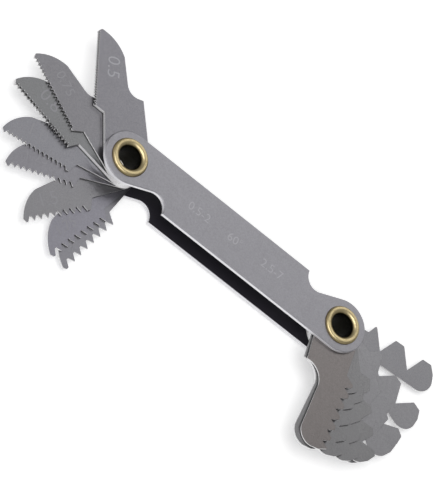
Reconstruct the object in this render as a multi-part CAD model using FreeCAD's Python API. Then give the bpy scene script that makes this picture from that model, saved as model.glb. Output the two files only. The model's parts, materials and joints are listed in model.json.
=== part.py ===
"""Screw pitch gauge: two flat steel covers on two hollow brass rivets, with a stack of ten
toothed steel leaves on each rivet.  Every leaf turns on its rivet and folds between the covers.

Frame, in millimetres: X runs from the left rivet to the right one, Z is along the rivets
towards the front cover, and the origin is half-way between the rivets and between the covers.
"""
import FreeCAD, Part
import math
import os

from FreeCAD import Vector

# Driving dimensions
RIVET_SPACING = 54.0
COVER_HALF_WIDTH = 5.4
COVER_THICKNESS = 0.8
EDGE_BREAK = 0.12
LEAF_THICKNESS = 0.44
LEAVES_PER_END = 10
SIDE_PLAY = 0.2
RIM_HEIGHT = 0.5
RIM_RADIUS = 3.9
BORE_RADIUS = 2.3
BELL_RADIUS = 0.9
BARREL_RADIUS = 2.85
LEAF_BORE_RADIUS = 2.9

# Finger notch in the cover's edge
NOTCH_FROM_RIVET = 8.25
NOTCH_RADIUS = 2.8

# Leaf, measured from its rivet: "out" runs along the toothed edge, "up" towards the teeth
LEAF_BOSS_RADIUS = 4.9
TANG_LINE = 5.45
STEP_FOOT_OUT = 8.2
ROOT_OUT = 9.1
FINE_CREST_UP = 7.7
COARSE_CREST_UP = 7.5

# Teeth: crest and root flats as shares of the pitch, and the last gullet's place
FINE_FLATS = (0, 0.2)
COARSE_FLATS = (0.3, 0)
END_LAND = 0.5
END_PITCHES = 0.8

# Leaves from the front one back: pitch, the way the toothed edge points in degrees from +X
# when fanned out, and how far the nose reaches from the rivet
LEFT_FAN = (
    (0.5, 115.0, 25.3), (0.6, 115.0, 25.3), (0.75, 150.4, 25.5), (0.8, 165.8, 25.4),
    (0.9, 165.8, 25.4), (1.0, 187.8, 24.8), (1.25, 202.2, 24.2), (1.5, 228.2, 24.5),
    (1.75, 247.0, 24.4), (2.0, 255.1, 24.5),
)
RIGHT_FAN = (
    (2.5, -87.3, 25.8), (3.0, -90.0, 26.2), (3.5, -77.7, 25.9), (4.0, -68.5, 26.2),
    (4.5, -59.0, 26.3), (5.0, -62.5, 26.3), (5.5, -44.7, 26.0), (6.0, -39.0, 25.3),
    (6.5, -21.0, 25.0), (7.0, 3.9, 25.1),
)

# Heights worked out from the dimensions above
SLOT = LEAVES_PER_END * LEAF_THICKNESS + SIDE_PLAY
LEAF_GAP = SIDE_PLAY / (LEAVES_PER_END + 1)
COVER_SEAT = SLOT / 2
RIM_SEAT = COVER_SEAT + COVER_THICKNESS
CROWN = RIM_SEAT + RIM_HEIGHT

ORIGIN = Vector(0, 0, 0)
UP = Vector(0, 0, 1)
OVERCUT = 1.0
TOUCH = 1e-6


def circle_point(centre, radius, degrees):
    angle = math.radians(degrees)
    return centre + Vector(radius * math.cos(angle), radius * math.sin(angle), 0)


def arc(centre, radius, start, end):
    """Arc from start to end degrees; it runs clockwise when end is the smaller."""
    middle = (start + end) / 2
    points = [circle_point(centre, radius, a) for a in (start, middle, end)]
    return Part.Arc(*points).toShape()


def line(a, b):
    return Part.LineSegment(a, b).toShape()


def closed(corners):
    """Neighbouring pairs of corners round a closed outline."""
    return zip(corners, corners[1:] + corners[:1])


def plate(edges, height):
    """A flat plate of the given height whose outline is a closed run of edges."""
    face = Part.Face(Part.Wire(Part.__sortEdges__(edges)))
    return face.extrude(Vector(0, 0, height))


def half_cover_outline():
    """One end of a cover: notch, neck and boss, from the notch's corner to the far edge."""
    rivet = Vector(RIVET_SPACING / 2, 0, 0)
    notch = Vector(rivet.x - NOTCH_FROM_RIVET, COVER_HALF_WIDTH, 0)
    across = notch - rivet
    slant = math.degrees(math.atan2(across.y, across.x))
    lean = math.degrees(math.acos((COVER_HALF_WIDTH + NOTCH_RADIUS) / across.Length))
    touch = slant - lean
    notch_end = circle_point(notch, NOTCH_RADIUS, touch + 180)
    boss_start = circle_point(rivet, COVER_HALF_WIDTH, touch)
    return [
        arc(notch, NOTCH_RADIUS, 180, touch + 180),
        line(notch_end, boss_start),
        arc(rivet, COVER_HALF_WIDTH, touch, -90),
    ]


def cover(bottom, outer_face):
    """A cover is the same half outline twice, half a turn apart, with its outer edges broken."""
    near = half_cover_outline()
    far = [edge.copy() for edge in near]
    for edge in far:
        edge.rotate(ORIGIN, UP, 180)
    corner = Vector(RIVET_SPACING / 2 - NOTCH_FROM_RIVET - NOTCH_RADIUS, COVER_HALF_WIDTH, 0)
    tangent = Vector(-RIVET_SPACING / 2, COVER_HALF_WIDTH, 0)
    edges = near + far + [line(tangent, corner), line(-tangent, -corner)]
    solid = plate(edges, COVER_THICKNESS)
    solid.translate(Vector(0, 0, bottom))
    outer_edges = [edge for edge in solid.Edges
                   if all(abs(v.Z - outer_face) < TOUCH for v in edge.Vertexes)]
    solid = solid.makeChamfer(EDGE_BREAK, outer_edges)
    for side in (-1, 1):
        centre = Vector(side * RIVET_SPACING / 2, 0, bottom)
        solid = solid.cut(Part.makeCylinder(BARREL_RADIUS, COVER_THICKNESS, centre))
    return solid


def bend(centre, radius, start, end):
    """Points of a bend that is drawn as two flats, which keeps the turned rim's facets few."""
    return [circle_point(centre, radius, start + step * (end - start) / 2) for step in range(3)]


def rivet(side):
    """Hollow rivet: a tube flared at each end into a rolled rim that sits over a cover."""
    bell = Vector(BORE_RADIUS + BELL_RADIUS, CROWN - BELL_RADIUS, 0)
    roll = Vector(RIM_RADIUS - RIM_HEIGHT, RIM_SEAT, 0)
    # Half section, with the radius along X and the height along Y
    upper = bend(bell, BELL_RADIUS, 180, 90) + bend(roll, RIM_HEIGHT, 90, 0)
    upper.append(Vector(BARREL_RADIUS, RIM_SEAT, 0))
    lower = [Vector(point.x, -point.y, 0) for point in reversed(upper)]
    section = Part.Face(Part.Wire([line(a, b) for a, b in closed(upper + lower)]))
    solid = section.revolve(ORIGIN, Vector(0, 1, 0), 360)
    solid.rotate(ORIGIN, Vector(1, 0, 0), 90)
    solid.translate(Vector(side * RIVET_SPACING / 2, 0, 0))
    return solid


def tangent_from(point, radius, above):
    """Where a line from point touches the circle of this radius round the rivet."""
    reach = math.degrees(math.acos(radius / point.Length))
    bearing = math.degrees(math.atan2(point.y, point.x))
    return bearing + reach if above else bearing - reach


def leaf_root(shoulder, crest_up):
    """Edges round the boss: step below the first tooth, tang, boss and tang to the shoulder."""
    crest = Vector(STEP_FOOT_OUT + 0.5 * (crest_up - TANG_LINE), crest_up, 0)
    foot = Vector(STEP_FOOT_OUT, TANG_LINE, 0)
    top = tangent_from(foot, LEAF_BOSS_RADIUS, True)
    low = tangent_from(shoulder, LEAF_BOSS_RADIUS, False)
    edges = [
        line(crest, foot),
        line(foot, circle_point(ORIGIN, LEAF_BOSS_RADIUS, top)),
        arc(ORIGIN, LEAF_BOSS_RADIUS, top, low + 360),
        line(circle_point(ORIGIN, LEAF_BOSS_RADIUS, low), shoulder),
    ]
    return crest, edges


def fine_blank(reach):
    """Leaf of the fine end before its teeth: knife-shaped, with a pointed nose."""
    shoulder = Vector(12.7, -2.8, 0)
    catch = Vector(12.8, -1.7, 0)
    hollow = Vector(13.5, -0.1, 0)
    back_start = Vector(15.1, 0.8, 0)
    back_end = Vector(reach - 4.7, 1.8, 0)
    belly = Vector(reach - 1.7, 4.1, 0)
    nose = Vector(reach - 0.1, 7.0, 0)
    tip = Vector(reach - 0.6, FINE_CREST_UP, 0)
    crest, edges = leaf_root(shoulder, FINE_CREST_UP)
    edges += [
        line(shoulder, catch),
        Part.Arc(catch, hollow, back_start).toShape(),
        line(back_start, back_end),
        Part.Arc(back_end, belly, nose).toShape(),
        line(nose, tip),
        line(tip, crest),
    ]
    return edges


def coarse_blank(reach):
    """Leaf of the coarse end before its teeth: straight back and a blunt round nose."""
    shoulder = Vector(10.2, -3.6, 0)
    hollow = Vector(11.0, -0.8, 0)
    back_start = Vector(13.6, 0.7, 0)
    back_end = Vector(reach - 2.8, 0.7, 0)
    heel = Vector(reach - 0.9, 1.6, 0)
    nose = Vector(reach, 4.0, 0)
    brow = Vector(reach - 0.4, 5.8, 0)
    tip = Vector(reach - 1.5, COARSE_CREST_UP, 0)
    crest, edges = leaf_root(shoulder, COARSE_CREST_UP)
    edges += [
        Part.Arc(shoulder, hollow, back_start).toShape(),
        line(back_start, back_end),
        Part.Arc(back_end, heel, nose).toShape(),
        line(nose, brow),
        line(brow, tip),
        line(tip, crest),
    ]
    return edges


def gullets(pitch, crest_up, flats, reach):
    """Cutters for the row of sixty degree gullets, set out from the nose back to the root."""
    crest_flat, root_flat = flats
    slope = math.tan(math.radians(30))
    foot = root_flat * pitch / 2
    mouth = (1 - crest_flat) * pitch / 2
    bottom = crest_up - (mouth - foot) / slope
    flare = mouth + OVERCUT * slope
    feet = [-foot, foot] if foot else [0]
    cutters = []
    centre = reach - END_LAND - END_PITCHES * pitch
    while centre - mouth > ROOT_OUT:
        corners = [Vector(centre + out, bottom, 0) for out in feet]
        corners.append(Vector(centre + flare, crest_up + OVERCUT, 0))
        corners.append(Vector(centre - flare, crest_up + OVERCUT, 0))
        cutters.append(plate([line(a, b) for a, b in closed(corners)], LEAF_THICKNESS))
        centre -= pitch
    return cutters


def leaf(side, place, pitch, bearing, reach):
    """One leaf, cut, bored and turned on its rivet; place 0 lies under the front cover."""
    if side < 0:
        blank = plate(fine_blank(reach), LEAF_THICKNESS)
        cutters = gullets(pitch, FINE_CREST_UP, FINE_FLATS, reach)
    else:
        blank = plate(coarse_blank(reach), LEAF_THICKNESS)
        cutters = gullets(pitch, COARSE_CREST_UP, COARSE_FLATS, reach)
    solid = blank.cut(cutters)
    solid = solid.cut(Part.makeCylinder(LEAF_BORE_RADIUS, LEAF_THICKNESS))
    height = COVER_SEAT - (place + 1) * (LEAF_GAP + LEAF_THICKNESS)
    solid.rotate(ORIGIN, UP, bearing)
    solid.translate(Vector(side * RIVET_SPACING / 2, 0, height))
    return solid


def leaf_name(pitch):
    return "leaf_%d_%02d_mm" % divmod(round(pitch * 100), 100)


def build():
    parts = {
        "front_cover": cover(COVER_SEAT, RIM_SEAT),
        "back_cover": cover(-RIM_SEAT, -RIM_SEAT),
        "left_rivet": rivet(-1),
        "right_rivet": rivet(1),
    }
    for side, fan in ((-1, LEFT_FAN), (1, RIGHT_FAN)):
        for place, (pitch, bearing, reach) in enumerate(fan):
            parts[leaf_name(pitch)] = leaf(side, place, pitch, bearing, reach)
    return parts


os.makedirs("parts", exist_ok=True)
for name, shape in build().items():
    print("%-14s %d solid, %6.2f mm3" % (name, len(shape.Solids), shape.Volume))
    shape.exportStep("parts/%s.step" % name)
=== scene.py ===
"""A pocket thread pitch gauge, laid down with its leaves fanned out.  The steel covers and leaves
come from the frame and get their finish here; the brass rivets, the stamped numbers, the table
and the lamps are made here.  Lengths are in metres, and MM turns millimetres into them."""
import json
import math

import bmesh
import bpy
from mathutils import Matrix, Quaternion, Vector


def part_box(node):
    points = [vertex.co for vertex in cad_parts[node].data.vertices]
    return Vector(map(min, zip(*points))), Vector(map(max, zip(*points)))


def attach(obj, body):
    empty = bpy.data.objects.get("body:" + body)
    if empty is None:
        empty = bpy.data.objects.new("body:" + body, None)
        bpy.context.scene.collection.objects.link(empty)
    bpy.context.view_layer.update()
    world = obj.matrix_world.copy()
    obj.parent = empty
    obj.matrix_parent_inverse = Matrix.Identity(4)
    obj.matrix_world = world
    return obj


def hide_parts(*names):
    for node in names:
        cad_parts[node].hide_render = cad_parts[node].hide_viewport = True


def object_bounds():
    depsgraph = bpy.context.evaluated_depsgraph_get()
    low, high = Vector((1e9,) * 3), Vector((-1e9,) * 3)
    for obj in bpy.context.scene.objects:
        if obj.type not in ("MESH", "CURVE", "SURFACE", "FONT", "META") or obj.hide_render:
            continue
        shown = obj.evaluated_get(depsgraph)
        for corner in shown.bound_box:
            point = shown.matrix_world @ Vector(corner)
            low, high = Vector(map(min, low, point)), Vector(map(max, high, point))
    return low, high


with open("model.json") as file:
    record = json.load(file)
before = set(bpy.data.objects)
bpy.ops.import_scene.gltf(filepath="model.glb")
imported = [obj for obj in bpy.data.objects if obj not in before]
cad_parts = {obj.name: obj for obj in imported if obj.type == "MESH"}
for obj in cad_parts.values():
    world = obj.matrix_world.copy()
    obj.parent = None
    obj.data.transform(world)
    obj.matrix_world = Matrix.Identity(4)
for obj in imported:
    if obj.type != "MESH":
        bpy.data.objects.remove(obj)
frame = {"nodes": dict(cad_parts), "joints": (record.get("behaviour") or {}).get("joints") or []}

cad_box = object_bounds()


# ---- Covers -----------------------------------------------------------------------------------
# Two strips punched out of 0.8 mm steel sheet and tumbled to a satin face, their inner faces
# painted near black as painted shade for the slot between them.  The punch leaves the rims bright,
# and handling rounds and burnishes the edges.
MM = 0.001


class Wire:
    """One output of a node.  Sums on wires add Math nodes to the finish they belong to."""

    def __init__(self, finish, socket):
        self.finish = finish
        self.socket = socket

    def maths(self, operation, *values):
        return self.finish.node("ShaderNodeMath", {"operation": operation}, dict(enumerate(values)))

    def __add__(self, other):
        return self.maths("ADD", self, other)

    def __radd__(self, other):
        return self.maths("ADD", other, self)

    def __sub__(self, other):
        return self.maths("SUBTRACT", self, other)

    def __rsub__(self, other):
        return self.maths("SUBTRACT", other, self)

    def __mul__(self, other):
        return self.maths("MULTIPLY", self, other)

    def __rmul__(self, other):
        return self.maths("MULTIPLY", other, self)

    def __abs__(self):
        return self.maths("ABSOLUTE", self)


class Nodes:
    """A node tree, with the few node shapes that the finishes and the room need."""

    def __init__(self, tree, shader):
        self.tree = tree
        self.shader = tree.nodes[shader]

    def node(self, kind, settings=None, sockets=None, output=0):
        """Adds a node: its settings first, then a value or a wire for each socket named."""
        node = self.tree.nodes.new(kind)
        for key, value in (settings or {}).items():
            setattr(node, key, value)
        for key, value in (sockets or {}).items():
            self.join(value, node.inputs[key])
        return Wire(self, node.outputs[output])

    def join(self, value, socket):
        if isinstance(value, Wire):
            self.tree.links.new(value.socket, socket)
        else:
            socket.default_value = value

    def set(self, **sockets):
        for name, value in sockets.items():
            self.join(value, self.shader.inputs[name.replace("_", " ")])

    def part(self, vector, axis):
        return self.node("ShaderNodeSeparateXYZ", sockets={"Vector": vector}, output=axis)

    def stretched(self, vector, factors):
        return self.node("ShaderNodeVectorMath", {"operation": "MULTIPLY"}, {0: vector, 1: factors})

    def turned(self, vector, degrees):
        turn = (0, 0, math.radians(degrees))
        return self.node("ShaderNodeMapping", sockets={"Vector": vector, "Rotation": turn})

    def noise(self, vector, size, detail=2.0):
        """Noise whose lumps are about size metres across, from 0 to 1."""
        sockets = {"Vector": vector, "Scale": 1 / size, "Detail": detail}
        return self.node("ShaderNodeTexNoise", sockets=sockets)

    def step(self, value, low, high):
        """0 below low, 1 above high and smooth between; low may be the larger."""
        sockets = {"Value": value, "From Min": low, "From Max": high}
        return self.node("ShaderNodeMapRange", {"interpolation_type": "SMOOTHSTEP"}, sockets)

    def mixed(self, mask, a, b):
        """Colour a where the mask is 0 and colour b where it is 1."""
        return self.node("ShaderNodeMix", {"data_type": "RGBA"}, {0: mask, 6: a, 7: b}, output=2)

    def scaled(self, colour, tone):
        return self.node("ShaderNodeVectorMath", {"operation": "SCALE"}, {0: colour, "Scale": tone})


class Finish(Nodes):
    """The finish of a surface: a material on one Principled shader."""

    def __init__(self, name, roughness, metallic=1.0):
        self.material = bpy.data.materials.new(name)
        self.material.use_nodes = True
        super().__init__(self.material.node_tree, "Principled BSDF")
        self.set(Metallic=metallic, Roughness=roughness)

    def place(self):
        return self.node("ShaderNodeTexCoord", output="Object")

    def facing(self):
        return self.part(self.node("ShaderNodeTexCoord", output="Normal"), "Z")

    def bump(self, height, depth, strength, normal=None):
        """A normal for relief of the given depth in metres."""
        sockets = {"Height": height, "Distance": depth, "Strength": strength}
        if normal:
            sockets["Normal"] = normal
        return self.node("ShaderNodeBump", sockets=sockets)


GRAIN_SIZE = 0.30 * MM
CLOUD_SIZE = 5 * MM
SHEAR_SIZE = 0.12 * MM
SCRATCHES = ((38, 0.06 * MM), (-24, 0.05 * MM), (83, 0.06 * MM))
SCRATCH_STRETCH = (0.012, 1, 1)
RELIEF_DEPTH = 0.006 * MM
ROLL_OVER = 0.45
SEAM_DEPTH = 0.5 * MM
SEAM_START = 0.15 * MM
SEAM_FULL = 0.22 * MM
PAINTED_SEAM_SHADE = (0.02, 0.02, 0.018, 1)


def steel(name, top, face, rim, roughness, edge):
    """Satin steel: grain, soft clouds and a few scratches on the faces, brighter punched rims.
    Painted shade darkens the rims below top, where another leaf stands close under them."""
    finish = Finish(name, roughness)
    place = finish.place()
    grain = finish.noise(place, GRAIN_SIZE, 2.0)
    clouds = finish.noise(place, CLOUD_SIZE, 3.0)
    marks = 0
    for degrees, size in SCRATCHES:
        lines = finish.stretched(finish.turned(place, degrees), SCRATCH_STRETCH)
        marks = finish.step(finish.noise(lines, size, 0.0), 0.72, 0.8) + marks
    flat = finish.step(abs(finish.facing()), 0.2, 0.8)
    shear = finish.noise(finish.stretched(place, (1, 1, 0.15)), SHEAR_SIZE, 1.0)
    tone = 0.74 + 0.36 * grain + 0.16 * clouds + 0.06 * marks
    # Painted shade: where ambient occlusion finds another leaf close under a rim, the rim's lower
    # part is painted near black.
    room = finish.node("ShaderNodeAmbientOcclusion", {"samples": 8}, {"Distance": SEAM_DEPTH}, "AO")
    below = finish.step(finish.part(place, "Z"), top - SEAM_START, top - SEAM_FULL)
    seam = (1 - flat) * below * finish.step(room, 0.90, 0.65)
    clean = finish.scaled(finish.mixed(flat, rim, face), tone)
    finish.colour = finish.mixed(seam, clean, PAINTED_SEAM_SHADE)
    relief = grain + 0.5 * marks + 2 * (1 - flat) * shear
    rounded = finish.node("ShaderNodeBevel", {"samples": 6}, {"Radius": edge})
    lift = finish.scaled((0, 0, 1), ROLL_OVER * (1 - flat))
    rolled = finish.node("ShaderNodeVectorMath", {"operation": "ADD"}, {0: rounded, 1: lift})
    level = finish.node("ShaderNodeVectorMath", {"operation": "NORMALIZE"}, {0: rolled})
    finish.set(Base_Color=finish.colour, Normal=finish.bump(relief, RELIEF_DEPTH, 0.3, level))
    finish.set(Roughness=roughness + 0.08 * clouds - 0.05 * marks)
    return finish


COVER_FACE = (0.390, 0.384, 0.412, 1)
COVER_RIM = (0.72, 0.715, 0.74, 1)
COVER_EDGE = 0.14 * MM
COVER_ROUGHNESS = 0.32
FAR_BELOW = -1.0
SLOT_SHADE = (0.028, 0.026, 0.034, 1)

# With its top far below, a cover takes no painted seam shade.
cover_steel = steel("cover satin steel", FAR_BELOW, COVER_FACE, COVER_RIM, COVER_ROUGHNESS,
                    COVER_EDGE)
# Facing times height is negative where a face looks towards the middle of the slot.
height = cover_steel.part(cover_steel.place(), "Z")
# Painted shade: the inner faces, which look into the slot, are painted near black and made not
# metallic.
inner = cover_steel.step(cover_steel.facing() * height, -0.8 * MM, -1.8 * MM)
cover_steel.set(Base_Color=cover_steel.mixed(inner, cover_steel.colour, SLOT_SHADE))
cover_steel.set(Metallic=1 - inner)
for node in ("front_cover", "back_cover"):
    frame["nodes"][node].data.materials.clear()
    frame["nodes"][node].data.materials.append(cover_steel.material)


# ---- Rivets -----------------------------------------------------------------------------------
# Hollow brass rivets, flared at both ends and rolled over the covers.  The rims are polished by
# handling, with painted shade as darker brass in the seam against the cover and as near-black brass
# in the bore.
BORE_RADIUS = 2.3 * MM
RIM_RADIUS = 3.9 * MM
RIM_HEIGHT = 0.5 * MM
BELL_RADIUS = 0.9 * MM
BARREL_RADIUS = 2.85 * MM
RIVET_AXIS = 27 * MM
TURN_STEPS = 96
BEND_STEPS = 10
GOLD = (0.70, 0.58, 0.33, 1)
TARNISH = (0.46, 0.34, 0.16, 1)
RIVET_SEAM_SHADE = (0.12, 0.085, 0.04, 1)
BORE_SHADE = (0.008, 0.007, 0.003, 1)

brass = Finish("rolled brass", 0.30)
brass_place = brass.place()
across = brass.node("ShaderNodeVectorMath", {"operation": "ABSOLUTE"}, {0: brass_place})
from_axis = brass.node("ShaderNodeVectorMath", {"operation": "SUBTRACT"},
                       {0: across, 1: (RIVET_AXIS, 0, 0)})
flat_offset = brass.stretched(from_axis, (1, 1, 0))
radius = brass.node("ShaderNodeVectorMath", {"operation": "LENGTH"}, {0: flat_offset},
                    output="Value")
# Painted shade: the bore is painted near-black brass.
inside = brass.step(radius, BORE_RADIUS + 0.50 * MM, BORE_RADIUS + 0.08 * MM)
# Painted shade: the outer edge of the rim, in the seam against the cover, is painted dark brown.
seam = brass.step(radius, RIM_RADIUS - 0.35 * MM, RIM_RADIUS - 0.02 * MM)
spots = brass.step(brass.noise(brass_place, 0.5 * MM, 3.0), 0.5, 0.75)
gold = brass.mixed(0.45 * spots, GOLD, TARNISH)
ringed = brass.mixed(0.8 * seam, gold, RIVET_SEAM_SHADE)
brass.set(Base_Color=brass.mixed(inside, ringed, BORE_SHADE))
brass.set(Roughness=0.30 + 0.12 * spots + 0.25 * inside)
brass_relief = brass.noise(brass_place, 0.3 * MM, 3.0)
brass.set(Normal=brass.bump(brass_relief, 0.008 * MM, 0.4))


def bend(radius, height, size, start, end):
    """Points of a round bend in the rivet's half section, from start to end degrees."""
    angles = [math.radians(start + (end - start) * i / BEND_STEPS) for i in range(BEND_STEPS + 1)]
    return [(radius + size * math.cos(a), height + size * math.sin(a)) for a in angles]


def turned_rivet(name, x):
    """The rivet's half section, turned about its own axis."""
    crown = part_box(name)[1].z
    seat = crown - RIM_HEIGHT
    upper = bend(BORE_RADIUS + BELL_RADIUS, crown - BELL_RADIUS, BELL_RADIUS, 180, 90)
    upper += bend(RIM_RADIUS - RIM_HEIGHT, seat, RIM_HEIGHT, 90, 0)
    upper.append((BARREL_RADIUS, seat))
    section = upper + [(radius, -height) for radius, height in reversed(upper)]
    mesh = bmesh.new()
    rings = []
    for step in range(TURN_STEPS):
        angle = math.tau * step / TURN_STEPS
        corners = [(x + r * math.cos(angle), r * math.sin(angle), h) for r, h in section]
        rings.append([mesh.verts.new(corner) for corner in corners])
    for ring, following in zip(rings, rings[1:] + rings[:1]):
        for i in range(len(section)):
            mesh.faces.new((ring[i - 1], ring[i], following[i], following[i - 1]))
    bmesh.ops.recalc_face_normals(mesh, faces=mesh.faces)
    data = bpy.data.meshes.new(name + "_turned")
    mesh.to_mesh(data)
    mesh.free()
    data.shade_smooth()
    piece = bpy.data.objects.new(name + "_turned", data)
    bpy.context.scene.collection.objects.link(piece)
    piece.data.materials.append(brass.material)
    return piece


for node in ("left_rivet", "right_rivet"):
    low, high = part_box(node)
    piece = turned_rivet(node, (low.x + high.x) / 2)
    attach(piece, "frame")
    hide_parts(node)


# ---- Leaves -----------------------------------------------------------------------------------
# Spring steel leaves of 0.44 mm, punched to shape with the teeth of one pitch each and ground
# flat.  They come from several sheets, so their greys differ a little from leaf to leaf.
LEAF_RIM = (0.70, 0.695, 0.70, 1)
LEAF_EDGE = 0.08 * MM
LEAF_ROUGHNESS = 0.29
COMMON_GREY = (0.335, 0.331, 0.346, 1)
LEAF_GREYS = {
    "leaf_0_50_mm": (0.302, 0.297, 0.321, 1), "leaf_0_75_mm": (0.295, 0.290, 0.309, 1),
    "leaf_0_80_mm": (0.280, 0.282, 0.289, 1), "leaf_1_00_mm": (0.332, 0.330, 0.357, 1),
    "leaf_1_25_mm": (0.330, 0.324, 0.352, 1), "leaf_1_50_mm": (0.325, 0.321, 0.337, 1),
    "leaf_1_75_mm": (0.343, 0.337, 0.380, 1), "leaf_2_00_mm": (0.335, 0.331, 0.359, 1),
    "leaf_2_50_mm": (0.278, 0.256, 0.251, 1), "leaf_3_00_mm": (0.290, 0.287, 0.294, 1),
    "leaf_3_50_mm": (0.288, 0.285, 0.292, 1), "leaf_4_00_mm": (0.292, 0.289, 0.296, 1),
    "leaf_4_50_mm": (0.294, 0.291, 0.298, 1), "leaf_7_00_mm": (0.313, 0.310, 0.326, 1),
}

for joint in frame["joints"]:
    node = joint["child"]
    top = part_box(node)[1].z
    grey = LEAF_GREYS.get(node, COMMON_GREY)
    finish = steel(node + " steel", top, grey, LEAF_RIM, LEAF_ROUGHNESS, LEAF_EDGE)
    frame["nodes"][node].data.materials.clear()
    frame["nodes"][node].data.materials.append(finish.material)


# ---- Numbers ----------------------------------------------------------------------------------
# Each leaf is stamped with its pitch in millimetres: the fine leaves on the face, the coarse
# ones on the back.  The front cover is stamped with the two ranges and the thread's angle.
# The strokes stand a hair proud of the steel.
STAMP_HEIGHT = 0.008 * MM
DIGIT_SHARE = 0.72
STROKE_THINNING = -0.010
LEAF_DIGITS = 2.8 * MM
LONG_NUMBER_DIGITS = 2.2 * MM
COVER_DIGITS = 1.9 * MM
FINE_NUMBER_AT = (17.9 * MM, 4.2 * MM)
COARSE_NUMBER_AT = (16.0 * MM, 3.6 * MM)
FOLDED_LEFT = -15.5
FOLDED_RIGHT = -195.5
CLEAREST = "leaf_0_50_mm"

clear_stamp = Finish("clear stamped strokes", 0.42)
clear_stamp.set(Base_Color=(0.48, 0.475, 0.51, 1))
worn_stamp = Finish("worn stamped strokes", 0.38)
worn_stamp.set(Base_Color=(0.365, 0.36, 0.385, 1))
cover_stamp = Finish("stamped strokes on the cover", 0.40)
cover_stamp.set(Base_Color=(0.52, 0.515, 0.545, 1))


def stamp(name, text, digits, at, turn, body, finish):
    """Stamps text on a face at a point, its foot line turned by a quaternion."""
    curve = bpy.data.curves.new(name, "FONT")
    curve.body = text
    curve.size = digits / DIGIT_SHARE
    curve.align_x = "CENTER"
    curve.align_y = "CENTER"
    curve.resolution_u = 3
    curve.extrude = STAMP_HEIGHT / 2
    curve.offset = STROKE_THINNING * curve.size
    curve.materials.append(finish.material)
    number = bpy.data.objects.new(name, curve)
    number.location = at
    number.rotation_mode = "QUATERNION"
    number.rotation_quaternion = turn
    bpy.context.scene.collection.objects.link(number)
    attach(number, body)


def about_z(degrees):
    return Quaternion((0, 0, 1), math.radians(degrees))


for joint in frame["joints"]:
    node = joint["child"]
    low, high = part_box(node)
    fine = low.x + high.x < 0
    rivet_low, rivet_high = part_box("left_rivet" if fine else "right_rivet")
    rivet = Vector(((rivet_low.x + rivet_high.x) / 2, 0, 0))
    # A leaf's travel starts folded, so the start of its range gives the bearing it rests at.
    bearing = (FOLDED_LEFT if fine else FOLDED_RIGHT) - joint["range_deg"][0]
    out, up = FINE_NUMBER_AT if fine else COARSE_NUMBER_AT
    at = rivet + about_z(bearing) @ Vector((out, up, 0))
    at.z = high.z + STAMP_HEIGHT / 2 if fine else low.z - STAMP_HEIGHT / 2
    turn = about_z(bearing + 180)
    if not fine:
        turn = turn @ Quaternion((0, 1, 0), math.pi)
    pitch = float(node[5:9].replace("_", "."))
    text = "%g" % pitch if pitch % 1 else "%.1f" % pitch
    digits = LEAF_DIGITS if len(text) < 4 else LONG_NUMBER_DIGITS
    finish = clear_stamp if node == CLEAREST else worn_stamp
    stamp("number_" + node[5:9], text, digits, at, turn, node, finish)

cover_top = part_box("front_cover")[1].z + STAMP_HEIGHT / 2
for name, text, x in (("fine_range", "0.5-2", -9.6), ("thread_angle", "60\u00b0", -0.6),
                      ("coarse_range", "2.5-7", 8.8)):
    at = Vector((x * MM, 0, cover_top))
    stamp(name, text, COVER_DIGITS, at, about_z(0), "frame", cover_stamp)


# ---- Table, lamps and camera ------------------------------------------------------------------
# A white table in a pale room: a wide soft lamp overhead and a dim one beyond the gauge that
# gives the flat faces their sheen.  A low band of white wall on the near side lights the rims.
TABLE_SIZE = 4.0
TABLE_GAP = 0.02 * MM
TABLE_GLOW = (0.40, 0.40, 0.40, 1)
ROOM_GREY = (0.24, 0.24, 0.24, 1)
WALL_WHITE = (1, 1, 1, 1)
NEAR_SIDE = (-0.47, -0.88, 0)

table_mesh = bmesh.new()
bmesh.ops.create_grid(table_mesh, x_segments=1, y_segments=1, size=TABLE_SIZE)
table_data = bpy.data.meshes.new("table")
table_mesh.to_mesh(table_data)
table_mesh.free()
table = bpy.data.objects.new("table", table_data)
table.location.z = cad_box[0].z - TABLE_GAP
bpy.context.scene.collection.objects.link(table)
paper = Finish("white table", 0.9, 0.0)
paper.set(Base_Color=(0.9, 0.9, 0.9, 1), Specular_IOR_Level=0.0, Emission_Strength=1.0)
shown = paper.node("ShaderNodeLightPath", output="Is Camera Ray")
shown = shown + paper.node("ShaderNodeLightPath", output="Is Glossy Ray")
paper.set(Emission_Color=paper.mixed(shown, (0, 0, 0, 1), TABLE_GLOW))
table.data.materials.append(paper.material)

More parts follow.
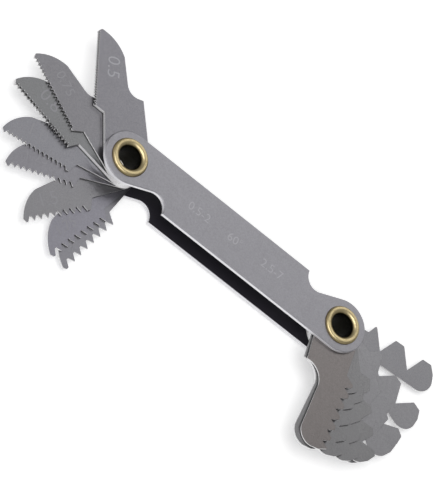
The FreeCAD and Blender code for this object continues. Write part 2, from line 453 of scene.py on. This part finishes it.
world = bpy.data.worlds.new("room")
bpy.context.scene.world = world
world.use_nodes = True
room = Nodes(world.node_tree, "Background")
way = room.node("ShaderNodeTexCoord", output="Generated")
nearness = room.node("ShaderNodeVectorMath", {"operation": "DOT_PRODUCT"},
                     {0: way, 1: NEAR_SIDE}, output="Value")
low_down = room.step(room.part(way, "Z"), 0.60, 0.30)
near_wall = low_down * room.step(nearness, -0.3, 0.3)
room.set(Color=room.mixed(near_wall, ROOM_GREY, WALL_WHITE))


def soft_lamp(name, way, distance, size, watts):
    """A round lamp that hangs from the origin in the given direction and looks back at it."""
    data = bpy.data.lights.new(name, "AREA")
    data.shape = "DISK"
    data.size = size
    data.energy = watts
    lamp = bpy.data.objects.new(name, data)
    way = Vector(way).normalized()
    lamp.location = way * distance
    lamp.rotation_mode = "QUATERNION"
    lamp.rotation_quaternion = way.to_track_quat("Z", "Y")
    bpy.context.scene.collection.objects.link(lamp)


soft_lamp("lamp overhead", (-0.20, -0.25, 0.95), 1.5, 1.6, 13.0)
soft_lamp("lamp beyond", (0.27, 0.70, 0.64), 1.5, 0.9, 2.0)

CAMERA_AZIMUTH = 27.94
CAMERA_DROP = 52.9
CAMERA_ROLL = 61.2
CAMERA_DISTANCE = 606.1 * MM
CAMERA_LENS = 231.5
SENSOR_WIDTH = 36
AIM = Vector((-3.1, -3.75, 3.1)) * MM
azimuth = math.radians(CAMERA_AZIMUTH)
drop = math.radians(CAMERA_DROP)
ahead = Vector((math.sin(azimuth) * math.cos(drop), math.cos(azimuth) * math.cos(drop),
                -math.sin(drop)))
camera_data = bpy.data.cameras.new("camera")
camera_data.lens = CAMERA_LENS
camera_data.sensor_width = SENSOR_WIDTH
camera = bpy.data.objects.new("camera", camera_data)
camera.location = AIM - ahead * CAMERA_DISTANCE
camera.rotation_mode = "QUATERNION"
camera.rotation_quaternion = ahead.to_track_quat("-Z", "Y") @ about_z(CAMERA_ROLL)
bpy.context.scene.collection.objects.link(camera)
bpy.context.scene.camera = camera

bpy.context.scene.view_settings.view_transform = "Standard"
